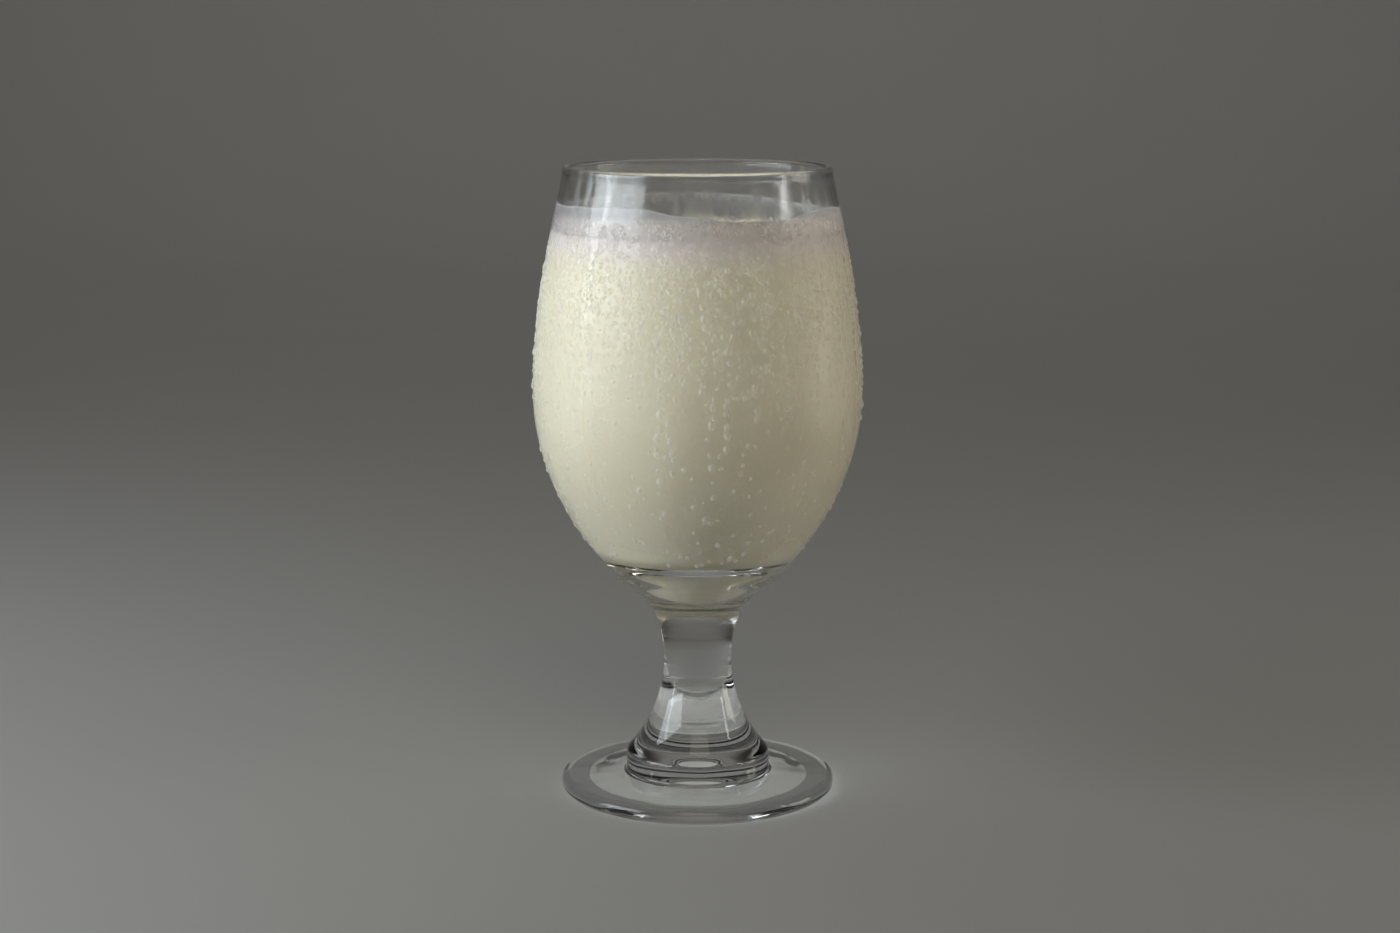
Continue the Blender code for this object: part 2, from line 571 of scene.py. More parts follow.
def clear_glass(settings):
    """Colourless glass: misted outside the bowl, but for the tracks of beads that ran down."""
    finish = Finish("clear_glass")
    mist = finish.attribute("mist")
    tracks = finish.noise((130.0, 130.0, 9.0)).between(0.58, 0.70)
    patches = finish.noise((90.0, 90.0, 60.0), detail=3.0)
    haze = mist * (1 - 0.6 * tracks) * patches.between(0.3, 0.7, 0.6, 1.0)
    droplets = finish.cells((1500.0, 1500.0, 1200.0)).between(0.1, 0.6, 1.0, 0.0)
    beading = finish.cells((660.0, 660.0, 540.0)).between(0.12, 0.6, 1.0, 0.0)
    upper_bowl = finish.height().between(88 * MM, 128 * MM, 0.25, 1.0)
    beaded = haze * (droplets * 0.14 + beading * upper_bowl * 1.5)
    waves = finish.noise((55.0, 55.0, 70.0), detail=1.0)
    streaks = finish.noise((330.0, 330.0, 26.0), detail=3.0).between(0.42, 0.68)
    upper = finish.height().between(LEVEL - MM, LEVEL + 3 * MM)
    smears = upper * (1 - mist) * (0.03 + settings.smear * streaks)
    shader = finish.shader(
        Base_Color=opaque(settings.tint),
        Roughness=haze * settings.haze + smears,
        IOR=GLASS_IOR,
        Transmission_Weight=1.0,
        Normal=finish.relief(beaded + waves, 0.25 * MM),
    )
    return finish.finished(finish.lit_through(shader, (0.95, 0.96, 0.96, 1.0)))


def sweet_lassi(settings):
    """Cream drink: fine froth at the wall, painted shade between its bubbles, and a mirror where
    light grazes the glass.
    """
    finish = Finish("sweet_lassi")
    height = finish.height()
    froth = height.between(LEVEL - 8.0 * MM, LEVEL - 1.2 * MM)
    bubbles = finish.cells((1500.0, 1500.0, 1500.0)).between(0.2, 0.6, 1.0, 0.0)
    cloud = finish.noise((70.0, 70.0, 45.0), detail=4.0)
    body = finish.blend(
        cloud.between(0.35, 0.65), opaque(settings.cream), opaque(settings.deep_cream)
    )
    # Froth at the wall: painted shade, a darker copy of its colour, between the bubbles and in dots
    # along the contact line
    contact = height.between(LEVEL - 1.1 * MM, LEVEL - 0.3 * MM)
    dotted = finish.noise((900.0, 900.0, 900.0), detail=1.0).between(0.35, 0.6)
    foam = finish.blend(
        bubbles * (1 - contact * dotted), opaque(settings.shaded_froth), opaque(settings.froth)
    )
    rough = finish.noise((1500.0, 1500.0, 1500.0), detail=3.0)
    top = height.between(LEVEL - 0.3 * MM, LEVEL - 0.1 * MM)
    skin = finish.blend(bubbles, opaque(settings.cream), opaque(settings.top_froth))
    open_top = finish.attribute("open_top")
    drink = finish.shader(
        Base_Color=finish.blend(open_top, finish.blend(froth, body, foam), skin),
        Roughness=0.38 + 0.12 * froth,
        IOR=DRINK_IOR,
        Subsurface_Weight=0.35,
        Subsurface_Radius=(1.0, 0.85, 0.6),
        Subsurface_Scale=1.2 * MM,
        Normal=finish.relief(top * (0.4 * rough + bubbles), 0.035 * MM),
    )
    mirror = finish.shader(Base_Color=(1.0, 1.0, 1.0, 1.0), Metallic=1.0, Roughness=0.0)
    grazing = finish.node("Fresnel", inputs={"IOR": DRINK_IOR / GLASS_IOR})
    return finish.finished(finish.mix(grazing * (1 - top), drink, mirror))


def milky_film(settings):
    """Thin film of drink left on the wall: a denser tide mark on top, fine bubbles below, painted
    shade between them.
    """
    finish = Finish("milky_film")
    share = finish.attribute("film_share")
    side = finish.attribute("film_painted_light")
    streaks = finish.noise((260.0, 260.0, 40.0), detail=3.0)
    speckle = finish.cells((1350.0, 1350.0, 1350.0)).between(0.2, 0.6)
    depth = finish.along("Y")
    # Painted light: denser film on the right. Painted shade: thinner film with less froth on the
    # left
    right = side.most(0.0)
    left = (0.0 - side).most(0.0)
    near = depth.between(-14 * MM, 4 * MM, 1.0, 0.0) * (1 - 0.3 * left)
    ragged = finish.height() + streaks * 0.8 * MM
    froth = near * ragged.between(LEVEL + 3.4 * MM, LEVEL + 6.4 * MM, 1.0, 0.0)
    edge = share.between(0.55, 0.95)
    brim = share.between(0.92, 0.96)
    veil = 0.13 + 0.26 * edge * streaks.between(0.3, 0.6, 0.6, 1.0)
    thin = veil + 0.3 * brim + 0.24 * right - 0.04 * left
    # Fine bubbles with painted shade, a darker copy of the froth, between them
    bubbles = finish.blend(speckle, opaque(settings.froth), opaque(settings.shaded_froth))
    shader = finish.shader(
        Base_Color=finish.blend(froth, opaque(settings.colour), bubbles),
        Roughness=0.35,
        IOR=DRINK_IOR,
        Subsurface_Weight=0.5,
        Subsurface_Radius=(1.0, 0.85, 0.75),
        Subsurface_Scale=1.0 * MM,
        Alpha=thin * (1 - froth) + (0.97 - 0.15 * speckle) * froth,
        Normal=finish.relief(froth * (1 - speckle), 0.12 * MM),
    )
    return finish.finished(shader)


def froth_skin(settings):
    """Skin of the bubbles on top: pale, wet and a little see-through."""
    finish = Finish("froth_skin")
    ripple = finish.noise((900.0, 900.0, 900.0))
    shader = finish.shader(
        Base_Color=finish.blend(ripple, opaque(settings.top_froth), opaque(settings.cream)),
        Roughness=0.22,
        IOR=DRINK_IOR,
        Alpha=ripple.between(0.3, 0.7, 0.55, 0.85),
    )
    return finish.finished(shader)


def clear_water():
    """Beads of condensed water."""
    finish = Finish("clear_water")
    ripple = finish.noise((700.0, 700.0, 700.0))
    shader = finish.shader(
        Base_Color=(0.962, 0.938, 0.860, 1.0),
        Roughness=0.40,
        IOR=WATER_IOR,
        Transmission_Weight=0.66,
        Specular_IOR_Level=0.4,
        Normal=finish.relief(ripple, 0.05 * MM),
    )
    return finish.finished(finish.lit_through(shader, (0.97, 0.975, 0.98, 1.0)))


def pale_floor(settings):
    """Plain matt floor with the faintest mottling."""
    finish = Finish("pale_floor")
    mottle = finish.noise((9.0, 9.0, 9.0), detail=4.0)
    lighter = [min(1.0, channel * 1.04) for channel in settings.floor[:3]]
    shader = finish.shader(
        Base_Color=finish.blend(mottle, opaque(settings.floor), opaque(lighter)),
        Roughness=0.75,
    )
    return finish.finished(shader)


# Settings


def length(name, description, default, low, high):
    """Length property, shown in the scene's units."""
    return bpy.props.FloatProperty(
        name=name,
        description=description,
        default=default,
        min=low,
        max=high,
        precision=5,
        subtype="DISTANCE",
        unit="LENGTH",
    )


def colour(name, description, default):
    """Linear colour property."""
    return bpy.props.FloatVectorProperty(
        name=name,
        description=description,
        default=default,
        min=0.0,
        max=1.0,
        size=3,
        subtype="COLOR",
    )


def fraction(name, description, default):
    """Property from 0 to 1."""
    return bpy.props.FloatProperty(
        name=name, description=description, default=default, min=0.0, max=1.0, subtype="FACTOR"
    )


def whole(name, description, default, low, high):
    """Whole number property."""
    return bpy.props.IntProperty(
        name=name, description=description, default=default, min=low, max=high
    )


def watts(name, description, default):
    """Power property of a lamp."""
    return bpy.props.FloatProperty(
        name=name, description=description, default=default, min=0.0, unit="POWER"
    )


class GlassSettings(bpy.types.PropertyGroup):
    sides: whole("Sides", "Facets round the axis", 320, 48, 400)
    tint: colour("Tint", "Colour that the glass gives to what shows through", (0.975, 0.985, 0.985))
    haze: fraction("Haze", "Roughness of the misted outside", 0.48)
    smear: fraction("Smear", "Roughness of the upright streaks above the drink", 0.22)
    unevenness: length(
        "Unevenness", "How far the pressed foot swells and dips", 0.16 * MM, 0.0, 0.5 * MM
    )


class DrinkSettings(bpy.types.PropertyGroup):
    sides: whole("Sides", "Facets round the axis", 256, 48, 400)
    bite: length("Bite", "How far the drink reaches into the wall", 0.15 * MM, 0.0, 0.5 * MM)
    cream: colour("Cream", "Colour of the drink", (0.81, 0.745, 0.58))
    deep_cream: colour("Deep cream", "Colour of its denser clouds", (0.785, 0.718, 0.55))
    froth: colour("Froth", "Colour of the froth at the wall", (0.91, 0.83, 0.785))
    # Darker copy of the froth: painted shade between its bubbles
    shaded_froth: colour("Froth shade", "Colour between its bubbles", (0.75, 0.665, 0.625))
    top_froth: colour("Top froth", "Colour of the froth on top", (0.90, 0.86, 0.775))


class FilmSettings(bpy.types.PropertyGroup):
    thickness: length("Thickness", "How far the film stands off the wall", 0.16 * MM, 0.02 * MM, MM)
    colour: colour("Colour", "Colour of the film", (0.66, 0.64, 0.65))
    froth: colour("Froth", "Colour of the fine bubbles in it", (0.99, 0.875, 0.81))
    # Darker copy of the film's froth: painted shade between its bubbles
    shaded_froth: colour("Froth shade", "Colour between those bubbles", (0.82, 0.70, 0.64))


class FrothSettings(bpy.types.PropertyGroup):
    bubbles: whole("Bubbles", "Bubbles on top of the drink", 1500, 0, 3000)
    smallest: length("Smallest", "Radius of the smallest bubbles", 0.16 * MM, 0.05 * MM, MM)
    largest: length("Largest", "Radius of the largest bubbles", 0.9 * MM, 0.1 * MM, 2 * MM)


class CondensationSettings(bpy.types.PropertyGroup):
    pitch: length("Pitch", "Mean distance between fine beads", 1.15 * MM, 0.8 * MM, 4 * MM)
    fine: length("Fine bead", "Largest radius of a fine bead", 0.80 * MM, 0.1 * MM, MM)
    large: length("Large bead", "Largest radius of a bead in a run", 0.95 * MM, 0.2 * MM, 2 * MM)
    cover: fraction("Cover", "Share of the places that hold a fine bead at the densest", 0.92)


class StageSettings(bpy.types.PropertyGroup):
    floor: colour("Floor", "Colour of the floor", (0.55, 0.535, 0.51))
    key_power: watts("Key power", "Soft light from the left", 2.3)
    fill_power: watts("Fill power", "Soft light from the right", 0.56)
    top_power: watts("Top power", "Soft light from above the front", 0.7)
    strip_power: watts("Strip power", "Narrow lights that draw highlights", 0.22)
    open_top_power: watts("Open top power", "Beam down on the froth", 0.0042)
    backdrop_power: watts("Backdrop power", "Light on the sweep behind", 5.0)
    surround: colour("Surround", "Even light of the room", (0.024, 0.021, 0.018))


# Pieces


def pressed_swell(azimuth, radius):
    """Swells left by the mould, from -1 to 1: three waves round the axis that lean with radius."""
    lean = radius / FOOT_TOP.radius
    broad = np.sin(5 * azimuth + 2.1 * lean)
    middle = np.sin(11 * azimuth - 3.4 * lean + 1.0)
    narrow = np.sin(23 * azimuth + 5.0 * lean + 2.0)
    return (broad + 0.7 * middle + 0.35 * narrow) / 2.05


def build_glass(settings):
    """Glass turned from its whole outline, with the share of mist kept for each vertex.

    The mist thins out where the drink ends and is gone above the film. The foot's top and round
    edge are pushed down and in by the swells of pressed glass, which fade out at the collar and
    at the standing ring.
    """
    mesh = turned_mesh("glass_body", glass_profile(), settings.sides)
    points = vertex_points(mesh)
    radius = np.hypot(points[:, 0], points[:, 1])
    azimuth = np.arctan2(points[:, 0], -points[:, 1])
    height = points[:, 2]
    outer, _ = wall_at(height, bowl_outside())
    outside = radius > outer - 0.3 * MM
    thinner = 1 - 0.35 * smooth(height, LEVEL - 2 * MM, LEVEL + MM)
    thinner -= 0.65 * smooth(height, LEVEL + 2.5 * MM, LEVEL + 6 * MM)
    wet = smooth(height, MIST_START, MIST_FULL) * thinner
    keep_attribute(mesh, "mist", outside * wet)
    on_foot = smooth(height, 0.4 * MM, 2.4 * MM) * (height < COLLAR_BASE.height)
    on_foot *= smooth(radius, FOOT_TOP.radius, FOOT_TOP.radius + 3 * MM)
    push = settings.unevenness * on_foot * (pressed_swell(azimuth, radius) - 1)
    points[:, 2] += push
    rim_share = 0.6 * push * smooth(radius, 29 * MM, EDGE_CENTRE) / radius
    points[:, :2] += points[:, :2] * rim_share[:, None]
    move_vertices(mesh, points)
    piece("glass_body", mesh, clear_glass(settings), ["glass"])


def lassi_profile(bite):
    """Outline of the drink: a level top that climbs a little at the wall, then the bowl's form."""
    wall = bowl_inside(-bite)
    contact_radius = np.interp(LEVEL + MENISCUS_RISE, wall[::-1, 1], wall[::-1, 0])
    open_share = np.linspace(0.0, 1.0, 24, endpoint=False)
    climb = np.linspace(0.0, 1.0, 9)
    level = np.column_stack([
        (contact_radius - MENISCUS_WIDTH) * open_share,
        np.full(len(open_share), LEVEL),
    ])
    meniscus = np.column_stack([
        contact_radius - MENISCUS_WIDTH * (1 - climb),
        LEVEL + MENISCUS_RISE * climb ** 2,
    ])
    wetted = wall[wall[:, 1] < LEVEL - 0.1 * MM]
    return np.vstack([level, meniscus, wetted])


def build_drink(settings):
    """Drink turned from its outline, whose open top has low swells from two crossing waves."""
    mesh = turned_mesh("lassi_body", lassi_profile(settings.bite), settings.sides)
    points = vertex_points(mesh)
    radius = np.hypot(points[:, 0], points[:, 1])
    on_top = points[:, 2] > LEVEL - 0.05 * MM
    wall = surface_radius()
    keep_attribute(
        mesh, "open_top", on_top * (1 - smooth(radius, wall - 1.6 * MM, wall - 0.7 * MM))
    )
    swell = np.sin(points[:, 0] * 310.0 + 1.2) * np.sin(points[:, 1] * 270.0 + 0.4)
    swell += 0.6 * np.sin(points[:, 0] * 150.0 - points[:, 1] * 210.0)
    points[:, 2] += on_top * (1 - smooth(radius, 30 * MM, 34 * MM)) * swell * 0.03 * MM
    move_vertices(mesh, points)
    piece("lassi_body", mesh, sweet_lassi(settings), ["lassi"])


def build_film(settings):
    """Closed sheet on the inner wall from the drink up to the tide line, which ripples a little.

    Its outer face lies just inside the glass. The inner face stands off by the thickness, which
    swells to a soft bead under the upper edge. Each vertex keeps its share of the way up, and a
    side that goes to 1 on the right and to -1 on the left, for the painted light that makes the
    film denser on the right and the painted shade that makes it thinner on the left.
    """
    azimuth = np.linspace(0.0, 360.0, FILM_SIDES, endpoint=False)
    angle = np.radians(azimuth)
    top = around(TIDE_LINE, azimuth)
    top += 0.12 * MM * np.sin(angle * 7) + 0.07 * MM * np.sin(angle * 17)
    bottom = LEVEL + FILM_GAP
    rise = np.linspace(0.0, 1.0, 22)
    inner = bowl_inside()
    shares = np.concatenate([rise[::-1], rise])[:, None]
    faces_in = np.concatenate([np.ones(len(rise)), np.zeros(len(rise))])[:, None]
    height = bottom + (top - bottom) * shares
    radius, _ = wall_at(height, inner)
    bead = 1 + 0.9 * hump(shares, *FILM_BEAD)
    stand_off = settings.thickness * bead * smooth(shares, 1.0, 0.97)
    radius = radius - faces_in * stand_off + FILM_BITE * (1 - faces_in)
    rings = np.stack([radius * np.sin(angle), -radius * np.cos(angle), height], axis=-1)
    mesh = shells("wall_film", rings[::-1][None], looped=True)
    side = hump(azimuth, *FILM_LIT_SIDE) - hump(azimuth, *FILM_SHADED_SIDE)
    keep_attribute(mesh, "film_share", np.broadcast_to(shares, radius.shape)[::-1])
    keep_attribute(mesh, "film_painted_light", np.broadcast_to(side, radius.shape)[::-1])
    piece("wall_film", mesh, milky_film(settings))


def domes(centres, across, up, outward, radius, stretch, rise, sides, seed):
    """Shallow closed domes that sit on a surface.

    A dome's height falls from its rise in the middle to nothing at the edge as one minus the
    square of the share of its radius, to the power 1.4. Its outline is an ellipse, longer by
    stretch along up, with two and three soft lobes, and its middle hangs a little low. The base
    is rooted under the surface.
    """
    random = np.random.default_rng(seed)
    shares = np.array([0.4, 0.74, 1.0])[None, :, None]
    angle = np.linspace(0.0, math.tau, sides, endpoint=False)[None, None, :]
    lobes = 1 + 0.09 * np.cos(2 * angle + random.uniform(0, math.tau, (len(centres), 1, 1)))
    lobes = lobes + 0.06 * np.cos(3 * angle + random.uniform(0, math.tau, (len(centres), 1, 1)))
    reach = radius[:, None, None] * lobes * shares
    sag = -SAG * (1 - shares) * radius[:, None, None] * stretch[:, None, None]
    along = reach * np.cos(angle)
    upward = reach * np.sin(angle) * stretch[:, None, None] + sag
    out = rise[:, None, None] * (1 - shares ** 2) ** 1.4 + np.zeros_like(along)
    out[:, -1] = -ROOT_DEPTH
    rings = (
        centres[:, None, None]
        + along[..., None] * across[:, None, None]
        + upward[..., None] * up[:, None, None]
        + out[..., None] * outward[:, None, None]
    )
    apex = centres + up * (-SAG * radius * stretch)[:, None] + outward * rise[:, None]
    base = centres - outward * ROOT_DEPTH
    return rings, np.stack([apex, base], axis=1)


def on_bowl(azimuth, height):
    """Place on the outside of the bowl, with the directions across, up along it and outwards."""
    radius, lean = wall_at(height, bowl_outside())
    angle = np.radians(azimuth)
    out_flat = np.column_stack([np.sin(angle), -np.cos(angle), np.zeros(len(angle))])
    across = np.column_stack([np.cos(angle), np.sin(angle), np.zeros(len(angle))])
    centres = out_flat * radius[:, None]
    centres[:, 2] = height
    up = out_flat * lean[:, None]
    up[:, 2] = 1.0
    up /= np.linalg.norm(up, axis=1)[:, None]
    return centres, across, up, np.cross(across, up)


def run_line(azimuth, height):
    """Azimuth that a run wanders to at a height: two slow waves of under a degree."""
    return azimuth + 0.8 * np.sin(height * 260.0 + azimuth) + 0.4 * np.sin(height * 710.0)


def fine_beads(settings):
    """Azimuths, heights and radii of the fine beads.

    They lie on a brick lattice that is jittered at random, thin out below, and leave room round
    the runs and in narrow upright lanes.
    """
    random = np.random.default_rng(FINE_PLACES_SEED)
    rows = int((BEADS_HIGH - BEADS_LOW) / settings.pitch)
    columns = int(math.tau * BELLY.radius / settings.pitch)
    row, column = np.meshgrid(np.arange(rows), np.arange(columns), indexing="ij")
    offset = 0.5 * (row % 2)
    jitter = random.uniform(-0.34, 0.34, (2, rows, columns))
    height = (BEADS_LOW + (row + 0.5 + jitter[0]) * settings.pitch).ravel()
    azimuth = ((column + offset + jitter[1]) * 360.0 / columns).ravel()
    upper = smooth(height, 96 * MM, 134 * MM)
    lower = 1 - smooth(height, 62 * MM, 84 * MM)
    lanes = 0.5 + 0.5 * np.sin(np.radians(azimuth) * 23 + 1.5 * np.sin(height * 90.0))
    patches = 0.5 + 0.5 * np.sin(np.radians(azimuth) * 5 + height * 130.0)
    density = settings.cover * (0.09 + 0.91 * upper + 0.05 * lower)
    density *= 0.45 + 0.55 * smooth(lanes, 0.15, 0.5)
    density *= 0.7 + 0.3 * patches
    kept = random.uniform(0, 1, len(height)) < density
    for run, top, bottom in RUNS:
        apart = np.abs(np.mod(azimuth - run_line(run, height) + 180.0, 360.0) - 180.0)
        kept &= ~((apart < RUN_LANE) & (height < top + 2 * MM) & (height > bottom - 3 * MM))
    azimuth, height = azimuth[kept], height[kept]
    radius = settings.fine * (0.36 + 0.64 * random.beta(1.6, 2.2, len(height)))
    radius *= 1 - 0.45 * smooth(height, LEVEL - 9 * MM, LEVEL - MM)
    return azimuth, height, radius


def run_beads(settings):
    """Azimuths, heights and radii of the large beads, strung along each run at random gaps."""
    random = np.random.default_rng(RUN_PLACES_SEED)
    places = []
    for run, top, bottom in RUNS:
        beads = int((top - bottom) / RUN_GAP)
        gaps = random.uniform(0.45, 1.55, beads)
        height = top - (top - bottom) * np.cumsum(gaps) / gaps.sum()
        drift = random.normal(0, 0.35, beads)
        radius = settings.large * random.uniform(0.45, 1.0, beads)
        places.append(np.column_stack([run_line(run, height) + drift, height, radius]))
    azimuth, height, radius = np.vstack(places).T
    return azimuth, height, radius


def build_condensation(settings):
    """Fine beads all over the cold part of the bowl, and larger ones in upright runs."""
    water = clear_water()
    for name, (azimuth, height, radius), sides, seed in (
        ("fine_beads", fine_beads(settings), FINE_SIDES, FINE_OUTLINES_SEED),
        ("run_beads", run_beads(settings), RUN_SIDES, RUN_OUTLINES_SEED),
    ):
        random = np.random.default_rng(seed)
        centres, across, up, outward = on_bowl(azimuth, height)
        stretch = 1 + random.uniform(0, 0.6, len(radius)) * (radius > 0.3 * MM)
        rise = radius * random.uniform(0.38, 0.58, len(radius))
        rings, poles = domes(centres, across, up, outward, radius, stretch, rise, sides, seed)
        mesh = shells(name, rings, poles)
        mesh.set_sharp_from_angle(angle=math.radians(SHARP_EDGE))
        piece(name, mesh, water)


def build_froth(settings, drink):
    """Bubbles on top of the drink, crowded at the wall and scattered over the rest."""
    random = np.random.default_rng(BUBBLE_PLACES_SEED)
    wall = surface_radius()
    total = settings.bubbles
    at_wall = random.uniform(0, 1, total) < BUBBLES_AT_WALL
    from_wall = np.where(
        at_wall, random.exponential(CROWD_DEPTH, total), random.uniform(0, wall, total)
    )
    spread = settings.largest - settings.smallest
    radius = settings.smallest + spread * random.beta(0.9, 5.0, total)
    away = np.clip(wall - radius - 0.15 * MM - from_wall, 0.0, None)
    angle = np.radians(random.uniform(0, 360.0, total))
    climb = np.clip((away - wall + MENISCUS_WIDTH) / MENISCUS_WIDTH, 0, 1)
    centres = np.column_stack([
        away * np.sin(angle),
        -away * np.cos(angle),
        LEVEL + MENISCUS_RISE * climb ** 2,
    ])
    flat = np.zeros((total, 3))
    across, up, outward = flat + (1, 0, 0), flat + (0, 1, 0), flat + (0, 0, 1)
    stretch = np.ones(total)
    rise = 0.7 * radius
    rings, poles = domes(
        centres, across, up, outward, radius, stretch, rise, BUBBLE_SIDES, BUBBLE_OUTLINES_SEED
    )
    mesh = shells("froth_bubbles", rings, poles)
    mesh.set_sharp_from_angle(angle=math.radians(SHARP_EDGE))
    piece("froth_bubbles", mesh, froth_skin(drink))


# Stage

CAMERA_PLACE = (0.0006, -0.6106, 0.1922)
CAMERA_PITCH = 10.15
CAMERA_LENS = 63.51
SENSOR_WIDTH = 36.0

# Height on the bowl that the soft lamps face
LAMP_AIM = 0.1

# Lamp that faces away from the glass, down on the floor and its sweep
BACKDROP_WIDTH = 2.4
BACKDROP_DEPTH = 0.5
BACKDROP_PLACE = (0.0, 0.9, 1.6)
BACKDROP_TILT = 52.0

# Beam from straight above, with its spread in degrees
BEAM_WIDTH = 0.05
BEAM_SPREAD = 4.0
BEAM_PLACE = (0.0, 0.0, 0.5)

# Floor: half its width, where its sweep starts, the sweep's radius, and the top of the wall
FLOOR_REACH = 4.0
SWEEP_START = 1.3
SWEEP_RADIUS = 0.6
WALL_TOP = 3.5


class SoftLamp(NamedTuple):
    """A rectangular lamp's place round the glass, with its height, its size and its colour."""

    azimuth: float
    distance: float
    height: float
    width: float
    tall: float
    tint: tuple


KEY_LAMP = SoftLamp(-69, 0.62, 0.27, width=0.56, tall=0.32, tint=(0.865, 0.94, 1.0))
FILL_LAMP = SoftLamp(94, 0.70, 0.13, width=0.26, tall=0.24, tint=(1.0, 0.955, 0.83))
TOP_LAMP = SoftLamp(4, 0.75, 0.85, width=0.60, tall=0.40, tint=(1.0, 0.90, 0.70))
LEFT_STRIP = SoftLamp(-78, 0.60, 0.20, width=0.045, tall=0.40, tint=(0.90, 0.97, 1.0))
RIGHT_STRIP = SoftLamp(75, 0.60, 0.26, width=0.055, tall=0.30, tint=(1.0, 0.99, 0.96))
RIGHT_STRIP_SHARE = 1.1


def area_lamp(name, width, tall, power):
    """Add a rectangular lamp that faces down, and hand over its object."""
    lamp = bpy.data.lights.new(name, "AREA")
    lamp.shape = "RECTANGLE"
    lamp.size = width
    lamp.size_y = tall
    lamp.energy = power
    thing = bpy.data.objects.new(name, lamp)
    bpy.context.scene.collection.objects.link(thing)
    return thing


def soft_light(name, lamp, power):
    """Lamp at its azimuth and distance, turned to face the middle of the bowl."""
    thing = area_lamp(name, lamp.width, lamp.tall, power)
    thing.data.color = lamp.tint
    angle = math.radians(lamp.azimuth)
    thing.location = (
        lamp.distance * math.sin(angle), -lamp.distance * math.cos(angle), lamp.height
    )
    towards = -thing.location
    towards.z += LAMP_AIM
    thing.rotation_euler = towards.to_track_quat("-Z", "Y").to_euler()


def light_backdrop(power):
    """Broad lamp high behind the glass that faces away from it."""
    thing = area_lamp("backdrop_light", BACKDROP_WIDTH, BACKDROP_DEPTH, power)
    thing.location = BACKDROP_PLACE
    thing.rotation_euler = (math.radians(BACKDROP_TILT), 0.0, 0.0)


def light_open_top(power):
    """Narrow beam down through the open top on the froth and the rim."""
    thing = area_lamp("open_top_light", BEAM_WIDTH, BEAM_WIDTH, power)
    thing.data.shape = "DISK"
    thing.data.spread = math.radians(BEAM_SPREAD)
    thing.location = BEAM_PLACE


def build_floor(settings):
    """Floor that sweeps up into a wall far behind: a level line, a quarter circle, a plumb line."""
    angle = np.linspace(0.0, math.pi / 2, 13)
    sweep = SWEEP_START + SWEEP_RADIUS * np.sin(angle)
    depth = np.concatenate([[-FLOOR_REACH, 0.0], sweep, [SWEEP_START + SWEEP_RADIUS]])
    height = np.concatenate([[0.0, 0.0], SWEEP_RADIUS * (1 - np.cos(angle)), [WALL_TOP]])
    across = np.array([-FLOOR_REACH, FLOOR_REACH])
    grid = np.stack([
        np.broadcast_to(across[None, :], (len(depth), 2)),
        np.broadcast_to(depth[:, None], (len(depth), 2)),
        np.broadcast_to(height[:, None], (len(depth), 2)),
    ], axis=-1)
    row = np.arange(len(depth) - 1) * 2
    faces = np.column_stack([row, row + 1, row + 3, row + 2])
    mesh = bpy.data.meshes.new("floor")
    mesh.from_pydata(grid.reshape(-1, 3).tolist(), [], faces.tolist())
    mesh.shade_smooth()
    mesh.materials.append(pale_floor(settings))
    floor = bpy.data.objects.new("floor", mesh)
    bpy.context.scene.collection.objects.link(floor)


def build_stage(settings):
    """Floor, light of the room, lamps and camera.

    Three soft lamps and two narrow strips stand round the glass. One more lamp lights the
    backdrop, and a beam shines down on the open top.
    """
    build_floor(settings)
    scene = bpy.context.scene
    scene.view_settings.view_transform = "Standard"
    world = bpy.data.worlds.new("room")
    world.use_nodes = True
    world.node_tree.nodes["Background"].inputs["Color"].default_value = opaque(settings.surround)
    scene.world = world
    soft_light("key_light", KEY_LAMP, settings.key_power)
    soft_light("fill_light", FILL_LAMP, settings.fill_power)
    soft_light("top_light", TOP_LAMP, settings.top_power)
    soft_light("left_strip", LEFT_STRIP, settings.strip_power)
    soft_light("right_strip", RIGHT_STRIP, RIGHT_STRIP_SHARE * settings.strip_power)
    light_open_top(settings.open_top_power)
    light_backdrop(settings.backdrop_power)
    lens = bpy.data.cameras.new("camera")
    lens.lens = CAMERA_LENS
    lens.sensor_width = SENSOR_WIDTH
    camera = bpy.data.objects.new("camera", lens)
    camera.location = CAMERA_PLACE
    camera.rotation_euler = (math.radians(90.0 - CAMERA_PITCH), 0.0, 0.0)
    scene.collection.objects.link(camera)
    scene.camera = camera


# Add-on


class LassiSettings(bpy.types.PropertyGroup):
    glass: bpy.props.PointerProperty(type=GlassSettings)
    drink: bpy.props.PointerProperty(type=DrinkSettings)
    film: bpy.props.PointerProperty(type=FilmSettings)
    froth: bpy.props.PointerProperty(type=FrothSettings)
    condensation: bpy.props.PointerProperty(type=CondensationSettings)
    stage: bpy.props.PointerProperty(type=StageSettings)


class LASSI_OT_stage(bpy.types.Operator):
    """Lay the floor and set the lamps and the camera"""

    bl_idname = "lassi.stage"
    bl_label = "Stage"

    def execute(self, context):
        build_stage(context.scene.lassi.stage)
        return {"FINISHED"}


class LASSI_OT_glass(bpy.types.Operator):
    """Turn the clear glass in place of its plain solid"""

    bl_idname = "lassi.glass"
    bl_label = "Glass"

    def execute(self, context):
        build_glass(context.scene.lassi.glass)
        return {"FINISHED"}


class LASSI_OT_drink(bpy.types.Operator):
    """Pour the drink in place of its plain solid, just into the wall"""

    bl_idname = "lassi.drink"
    bl_label = "Drink"

    def execute(self, context):
        build_drink(context.scene.lassi.drink)
        return {"FINISHED"}


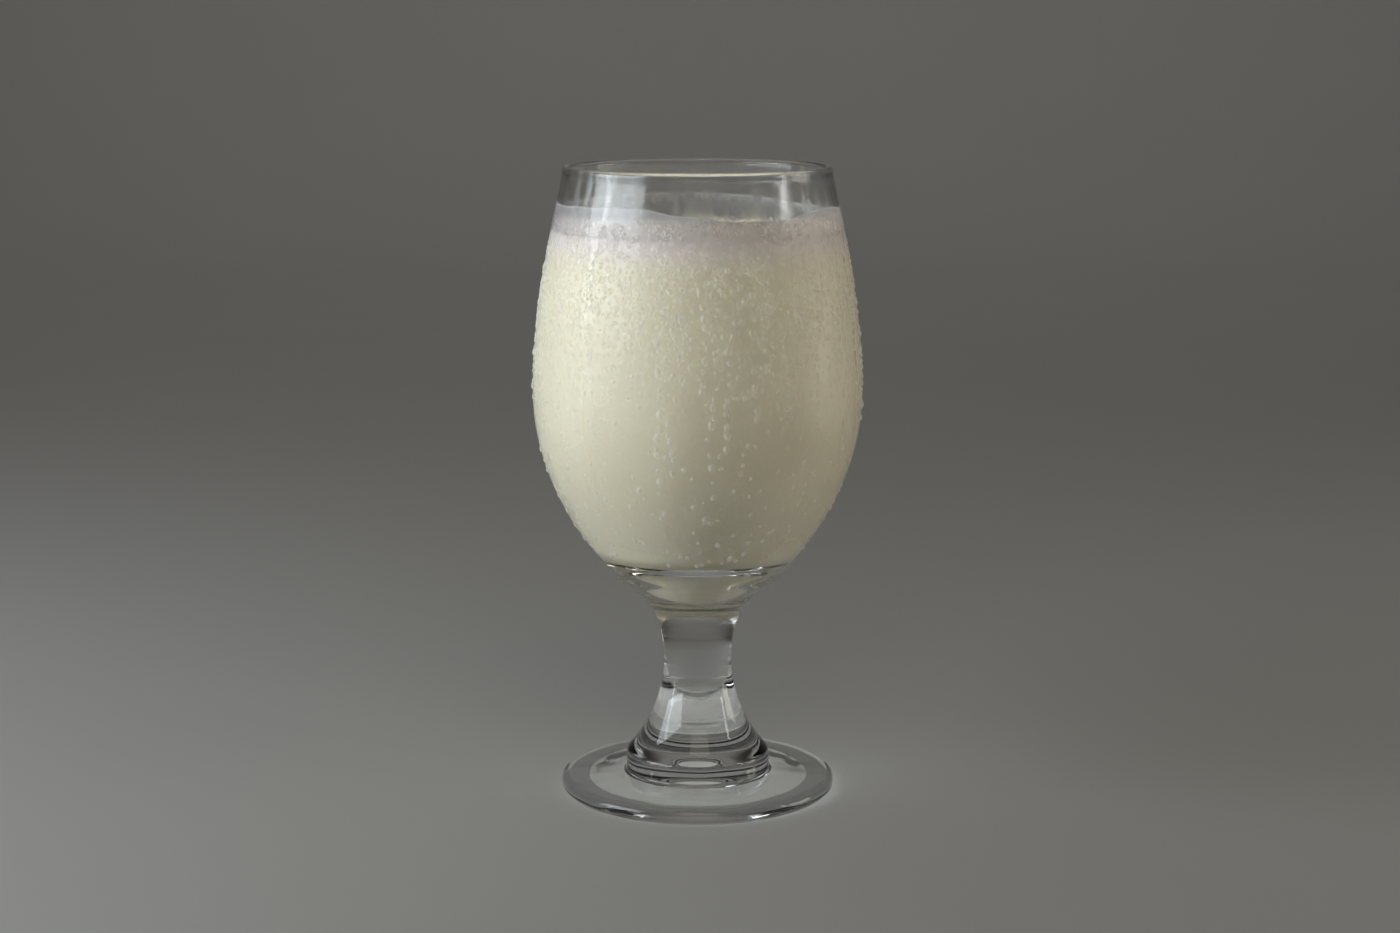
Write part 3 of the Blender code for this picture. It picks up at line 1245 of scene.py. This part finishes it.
class LASSI_OT_film(bpy.types.Operator):
    """Leave the milky film on the wall above the drink"""

    bl_idname = "lassi.film"
    bl_label = "Film"

    def execute(self, context):
        build_film(context.scene.lassi.film)
        return {"FINISHED"}


class LASSI_OT_froth(bpy.types.Operator):
    """Set the bubbles on top of the drink"""

    bl_idname = "lassi.froth"
    bl_label = "Froth"

    def execute(self, context):
        build_froth(context.scene.lassi.froth, context.scene.lassi.drink)
        return {"FINISHED"}


class LASSI_OT_condensation(bpy.types.Operator):
    """Bead the outside of the bowl with condensed water"""

    bl_idname = "lassi.condensation"
    bl_label = "Condensation"

    def execute(self, context):
        build_condensation(context.scene.lassi.condensation)
        return {"FINISHED"}


PIECES = ("stage", "glass", "drink", "film", "froth", "condensation")


class LASSI_PT_panel(bpy.types.Panel):
    """Each piece with its settings and the button that builds it"""

    bl_idname = "LASSI_PT_panel"
    bl_label = "Glass of Sweet Lassi"
    bl_space_type = "VIEW_3D"
    bl_region_type = "UI"
    bl_category = "Lassi"

    def draw(self, context):
        for name in PIECES:
            box = self.layout.box()
            settings = getattr(context.scene.lassi, name)
            for key in settings.bl_rna.properties.keys():
                if key not in ("rna_type", "name"):
                    box.prop(settings, key)
            box.operator("lassi." + name)


CLASSES = (
    GlassSettings,
    DrinkSettings,
    FilmSettings,
    FrothSettings,
    CondensationSettings,
    StageSettings,
    LassiSettings,
    LASSI_OT_stage,
    LASSI_OT_glass,
    LASSI_OT_drink,
    LASSI_OT_film,
    LASSI_OT_froth,
    LASSI_OT_condensation,
    LASSI_PT_panel,
)


def register():
    for item in CLASSES:
        bpy.utils.register_class(item)
    bpy.types.Scene.lassi = bpy.props.PointerProperty(type=LassiSettings)


def unregister():
    del bpy.types.Scene.lassi
    for item in reversed(CLASSES):
        bpy.utils.unregister_class(item)


def main():
    register()
    bpy.ops.lassi.stage()
    bpy.ops.lassi.glass()
    bpy.ops.lassi.drink()
    bpy.ops.lassi.film()
    bpy.ops.lassi.froth()
    bpy.ops.lassi.condensation()


if __name__ == "__main__":
    main()
